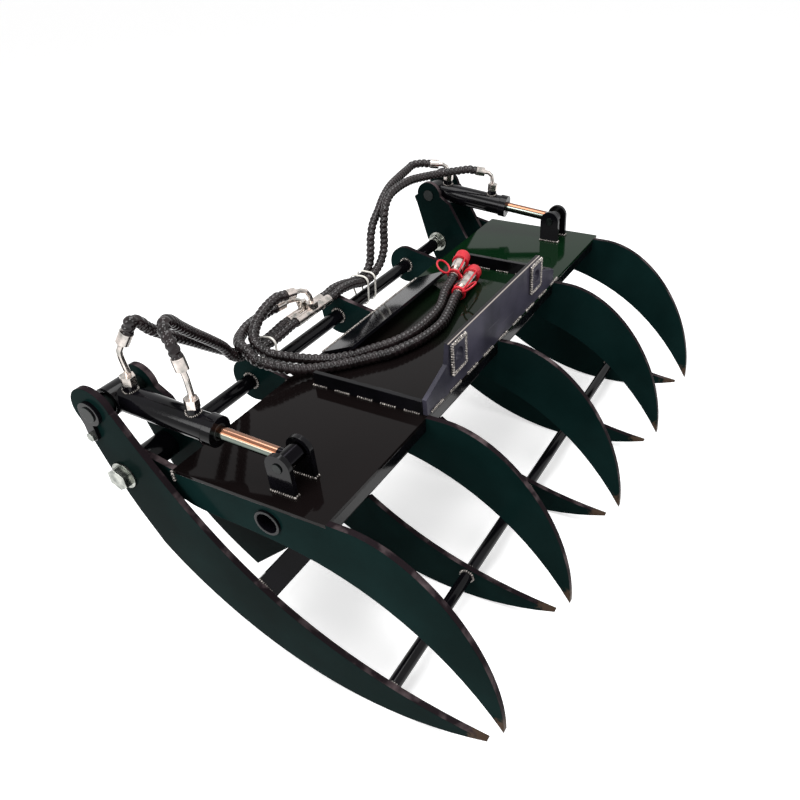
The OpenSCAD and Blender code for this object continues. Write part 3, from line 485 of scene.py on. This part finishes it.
# in millimetres: the middle of each tine along X, the centres of the hinge and of the
# torsion tube, and the radius of the bead round the hinge tube, torsion tube and crossbar.
# A bead's middle lies 1 mm outside the faces of the 10 mm plate.
tine_places = (-528.5, -264.25, 0.0, 264.25, 511.5)
jaw_places = (-548.5, -289.5, -30.5, 228.5, 487.5)
hinge_y, hinge_z = 233, -23
tube_y, tube_z = -16, -35
hinge_bead, tube_bead, bar_bead = 14, 22, 12
bead_faces = (-6.0, 6.0)
outer_tines = (0, 4)
seams = []
for x in tine_places[1:4]:
    for face in bead_faces:
        seams.append(ring(x + face, hinge_y, hinge_z, hinge_bead))
for i, x in enumerate(tine_places):
    for face in bead_faces:
        outward = face * (i - 2)
        if not (i in outer_tines and outward > 0):
            seams.append(ring(x + face, tube_y, tube_z, tube_bead))
            seams.append([(x + face, 146, -7.5), (x + face, -114, -7.5)])
        if not (i in outer_tines and outward < 0):
            seams.append([(x + face, 151, -2), (x + face, 151, -18)])
weld("tine_and_tube_welds", "frame", seams)
# the clevis ears stand 19 to 27 mm from the middle of their rod; the mount's rails are
# stitched on both sides, and its pin plate in front of and behind its foot
clevis_places = (-481.5, 481.5)
ear_in, ear_out = 19, 27
rail_places = (-260, 268)
seams = []
for x in clevis_places:
    for side in (-1, 1):
        for ear in (x + side * ear_in, x + side * ear_out):
            seams.append([(ear, -50, 1.5), (ear, -10, 1.5)])
        for y in (-51, -9):
            seams.append([(x + side * ear_in, y, 1.5), (x + side * ear_out, y, 1.5)])
for x in rail_places:
    for face in (-4.5, 4.5):
        for y in range(-104, 80, 44):
            seams.append([(x + face, y, 1.2), (x + face, y + 26, 1.2)])
for x in range(-250, 250, 62):
    seams.append([(x, -118.5, 0.8), (x + 36, -118.5, 0.8)])
    seams.append([(x, -109, 1.5), (x + 30, -109, 1.5)])
seams.append([(-166, 151, -1), (166, 151, -1)])
weld("mount_and_clevis_welds", "frame", seams, radius=0.0026, spacing=0.0034)

# a frame round each lock pin hole's pad
pad_half, pad_low, pad_high, pad_face = 22.5, 31, 83, -122
seams = []
for x in (-159, 159):
    corners = ((-pad_half, pad_low), (pad_half, pad_low), (pad_half, pad_high), (-pad_half, pad_high))
    seams.append([(x + dx, pad_face, z) for dx, z in corners + corners[:1]])
weld("pin_pad_welds", "frame", seams, radius=0.0038, spacing=0.0046)

# the strip and the crossbar lie at set shares of the jaw's reach and drop from the hinge;
# the strip is 38 mm wide and stands at 48 degrees
jaw_reach, jaw_drop = 591, 285
strip_y, strip_z = hinge_y - 0.372 * jaw_reach, hinge_z - 0.54 * jaw_drop
bar_y, bar_z = hinge_y - 0.724 * jaw_reach, hinge_z - 0.958 * jaw_drop
bead_half, strip_turn = 18, math.radians(48)
half_y, half_z = bead_half * math.cos(strip_turn), bead_half * math.sin(strip_turn)
seams = []
for i, x in enumerate(jaw_places):
    for face in bead_faces:
        if i in outer_tines and face * (i - 2) > 0:
            continue
        seams.append(ring(x + face, bar_y, bar_z, bar_bead))
        if i in outer_tines:
            seams.append([(x + face, strip_y - half_y, strip_z - half_z),
                          (x + face, strip_y + half_y, strip_z + half_z)])
weld("jaw_welds", "jaw", seams)

# Cylinders: hard-chromed rods with a painted reflection in their colour, grey-green like the dark
# base plate below and warm brown like a workshop above; zinc-plated fittings and bolts,
# enamelled pins, and the piston and its seals.
chrome, tree, shader = finish("hard chrome on the rods", Roughness=0.14, Metallic=1.0)
place = add(tree, "ShaderNodeTexCoord").outputs["Object"]
split = add(tree, "ShaderNodeSeparateXYZ", {0: place})
# height over the rod's slope: the rods rise 0.133 for each step back
rod_slope = maths(tree, "MULTIPLY", split.outputs["Y"], 0.133)
above = maths(tree, "SUBTRACT", split.outputs["Z"], rod_slope)
# painted reflection: grey-green low on the rod, warm brown high up, by height over its slope
warm = add(tree, "ShaderNodeValToRGB", {"Fac": between(tree, above, 0.040, 0.060)})
painted_reflection_tones = ((0.0, "#1d211e"), (0.45, "#3f4943"), (0.74, "#8a938a"), (0.82, "#6f4b39"), (0.92, "#96654e"))
for position, code in painted_reflection_tones:
    stop = warm.color_ramp.elements.new(position) if position else warm.color_ramp.elements[0]
    stop.color = linear(code)
warm.color_ramp.elements[-1].color = linear("#8d6a58")
# the rod's cross tube at the clevis is painted black
eye_end = between(tree, split.outputs["Y"], -0.0150, -0.0142)
eye_paint_and_painted_reflection = mix(tree, eye_end, linear("#141316"), warm.outputs["Color"])
tree.links.new(eye_paint_and_painted_reflection, shader.inputs["Base Color"])
grain(tree, shader, 1200, 0.0002, 0.08)
dress(chrome, "near_rod", "far_rod")

zinc, tree, shader = finish("bright zinc plate", Roughness=0.20, Metallic=1.0)
mottled(tree, shader, linear("#9b9a95"), linear("#e2d6cf"), 70)
grain(tree, shader, 500, 0.0003, 0.2, rounded=0.0006)
dress(zinc, "tee_fittings", "tee_ferrules", "couplers", "near_port_fittings", "far_port_fittings",
      "near_piston_nut", "far_piston_nut")
# the bolts' zinc is darker than the fittings': painted shade on the bolts
shaded_zinc, tree, shader = finish("zinc plate on the bolts, darkened as painted shade", Roughness=0.26, Metallic=1.0)
mottled(tree, shader, linear("#6f736e"), linear("#aeb0a9"), 90)
grain(tree, shader, 500, 0.0003, 0.2, rounded=0.0008)
dress(shaded_zinc, "hinge_bolts", "hinge_nuts", "hinge_washers", "flag_bolts")

pin_enamel, tree, shader = finish("enamelled pin steel", Roughness=0.16, IOR=1.25)
mottled(tree, shader, linear("#0b0f0e"), linear("#191f1e"), 90)
grain(tree, shader, 600, 0.0003, 0.2, rounded=0.0008)
dress(pin_enamel, "clevis_pins", "base_pins")
cast_iron, tree, shader = finish("turned cast iron", Roughness=0.45, Metallic=0.9)
mottled(tree, shader, linear("#5b5d60"), linear("#74777a"), 200)
grain(tree, shader, 800, 0.0004, 0.3)
dress(cast_iron, "near_piston", "far_piston")
nitrile, tree, shader = finish("nitrile seal rubber", Roughness=0.55, IOR=1.52)
mottled(tree, shader, linear("#141414"), linear("#202020"), 150)
grain(tree, shader, 900, 0.0003, 0.3)
dress(nitrile, "near_piston_seal", "far_piston_seal", "near_rod_wiper", "far_rod_wiper")

# weld collars where the port bosses join the barrels, in millimetres: each cylinder's base
# pin and clevis pin, then the ports' places, the bead's size and the barrel's radius
cylinder_ends = {"near": (Vector((-505, 251.75, 83.36)), Vector((-481.5, -30, 46))),
                 "far": (Vector((448, 251.75, 83.36)), Vector((481.5, -30, 46)))}
base_port_in, rod_port_at = 26, 152
collar_radius, barrel_radius, bead_lift = 10.5, 21, 0.8
for side_name, (base, clevis) in cylinder_ends.items():
    way = (base - clevis).normalized()
    across = Vector((way.y, -way.x, 0)).normalized()
    up = across.cross(way)
    seams = []
    for s in ((base - clevis).length - base_port_in, rod_port_at):
        foot = clevis + way * s
        collar = []
        for k in range(25):
            a = 2 * math.pi * k / 24
            wide, on = collar_radius * math.cos(a), collar_radius * math.sin(a)
            rise = math.sqrt(barrel_radius ** 2 - wide ** 2) + bead_lift
            collar.append(foot + across * wide + way * on + up * rise)
        seams.append(collar)
    weld(side_name + "_port_welds", side_name + "_barrel", seams, radius=0.0018, spacing=0.0026)

# Couplers and caps: flat-face couplers in zinc plate, each with a red rubber dust cap whose
# tether is a ring on the coupler's neck, an ear-shaped loop and a strap to its neighbour.
red_rubber, tree, shader = finish("red dust cap rubber", Roughness=0.38, IOR=1.5)
mottled(tree, shader, linear("#b80c1e"), linear("#d3182e"), 45)
grain(tree, shader, 500, 0.0004, 0.25)
shader.inputs["Subsurface Weight"].default_value = 0.06
shader.inputs["Subsurface Radius"].default_value = (0.004, 0.001, 0.001)
dress(red_rubber, "cap_tethers")
# in millimetres: both ends of each coupler's body, and the cap's profile from the bottom of
# its socket to the middle of its outer end, as distance from the body's end and radius
coupler_ends = {"1": (Vector((158, 58, 22)), Vector((208, 68, 31))),
                "2": (Vector((100, 18, 17)), Vector((184, 31, 18)))}
cap_shape = ((22.2, 0.0), (22.2, 11.05), (0.4, 11.05), (0.4, 16.6), (1.0, 17.0), (4.2, 17.0), (5.0, 16.4),
             (5.4, 15.3), (24.0, 15.1), (26.6, 14.2), (27.6, 12.4), (28.0, 9.6), (28.0, 0.0))
sides, ribs, rib_height = 72, 24, 0.35
strap_radius = 0.0019
for name, (a, b) in coupler_ends.items():
    way = (b - a).normalized()
    side = way.orthogonal().normalized()
    other = way.cross(side)
    verts, faces = [], []
    for s, r in cap_shape:
        ribbed = 5.2 < s < 25 and r > 14.8
        for k in range(sides):
            angle = 2 * math.pi * k / sides
            grip = rib_height * max(0.0, math.cos(ribs * angle)) if ribbed else 0.0
            out = side * math.cos(angle) + other * math.sin(angle)
            verts.append((b + way * s + out * (r + grip)) / 1000)
    for i in range(len(cap_shape) - 1):
        for k in range(sides):
            p, q = i * sides + k, i * sides + (k + 1) % sides
            faces.append((p, q, q + sides, p + sides))
    mesh = bpy.data.meshes.new("dust_cap_" + name + "_moulded")
    mesh.from_pydata(verts, [], faces)
    made = bmesh.new()
    made.from_mesh(mesh)
    bmesh.ops.remove_doubles(made, verts=made.verts, dist=1e-6)
    bmesh.ops.recalc_face_normals(made, faces=made.faces)
    made.to_mesh(mesh)
    made.free()
    mesh.materials.append(red_rubber)
    piece = bpy.data.objects.new("dust_cap_" + name + "_moulded", mesh)
    bpy.context.scene.collection.objects.link(piece)
    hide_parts("dust_cap_" + name)
    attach(piece, "cap_" + name)
    # strap from the tether's ring along the coupler to the cap's rim
    top = other if other.z > 0 else -other
    strap = [a + way * 9 + top * 12.5, a + way * 14 + top * 15.5, a + way * 24 + top * 17.0,
             a + way * ((b - a).length - 8) + top * 17.4, b + way * 2 + top * 17.4]
    line = even_line([tuple(p) for p in strap], 0.002)[0]
    piece = swept("cap_strap_" + name, line, lambda run, angle: strap_radius, 10, red_rubber)
    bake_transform(piece)
# strap between the two tethers, from ring to ring
neck = [a + (b - a).normalized() * 7.3 for a, b in coupler_ends.values()]
first = [neck[0] + Vector(p) for p in ((4, -12, 2), (2, -17, -2), (-8, -20, -4))]
second = [neck[1] + Vector(p) for p in ((22, 17, 4), (8, 13, 8), (0, 8, 10.5))]
line = even_line([tuple(p) for p in first + second], 0.002)[0]
piece = swept("tether_strap", line, lambda run, angle: strap_radius, 10, red_rubber)
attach(piece, "frame")

# Cable ties: white nylon, pulled tight round the hinge tube and the hoses on it.
nylon, tree, shader = finish("natural nylon tie", Roughness=0.4, IOR=1.53)
mottled(tree, shader, linear("#dedad0"), linear("#f2efe8"), 120)
grain(tree, shader, 700, 0.0003, 0.2)
dress(nylon, "cable_ties")

# Floor and light: a white studio floor with a soft shadow, four soft lamps (overhead, left,
# front and window) and a white room all round. Camera and mirror rays see full white, and
# the object is lit by half of that.
def seen_directly(tree):
    """1 for camera, glossy and transmission rays, 0 for all others"""
    path = add(tree, "ShaderNodeLightPath")
    seen = maths(tree, "MAXIMUM", path.outputs["Is Camera Ray"], path.outputs["Is Glossy Ray"])
    return maths(tree, "MAXIMUM", seen, path.outputs["Is Transmission Ray"])


white = (1, 1, 1, 1)
floor_white, tree, shader = finish("white studio floor", Roughness=0.9)
shader.inputs["Base Color"].default_value = linear("#f4f4f4")
shader.inputs["Emission Color"].default_value = white
lit = maths(tree, "MULTIPLY", seen_directly(tree), 0.5)
tree.links.new(lit, shader.inputs["Emission Strength"])
mesh = bpy.data.meshes.new("studio_floor")
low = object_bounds()[0][2] - 0.0005
half = 30
corners = [(-half, -half, low), (half, -half, low), (half, half, low), (-half, half, low)]
mesh.from_pydata(corners, [], [(0, 1, 2, 3)])
mesh.materials.append(floor_white)
floor = bpy.data.objects.new("studio_floor", mesh)
bpy.context.scene.collection.objects.link(floor)
world = bpy.context.scene.world or bpy.data.worlds.new("room")
bpy.context.scene.world = world
world.use_nodes = True
tree = world.node_tree
level = add(tree, "ShaderNodeMix", {0: seen_directly(tree), 2: 0.5, 3: 1.0})
room = next(n for n in tree.nodes if n.type == "BACKGROUND")
room.inputs["Color"].default_value = white
tree.links.new(level.outputs[0], room.inputs["Strength"])
lamps = (("overhead", (0.1, 0.2, 1.9), 26, 1.2),
         ("left", (-2.2, 0.6, 1.2), 22, 1.0),
         ("front", (-0.6, -2.3, 1.5), 14, 1.0),
         ("window", (-1.0, -0.4, 2.1), 14, 0.6))
for name, place, power, size in lamps:
    lamp = bpy.data.lights.new(name, "AREA")
    lamp.energy = power
    lamp.size = size
    light = bpy.data.objects.new(name, lamp)
    light.location = place
    light.rotation_euler = (-Vector(place)).to_track_quat("-Z", "Y").to_euler()
    bpy.context.scene.collection.objects.link(light)
bpy.context.scene.view_settings.view_transform = "Standard"
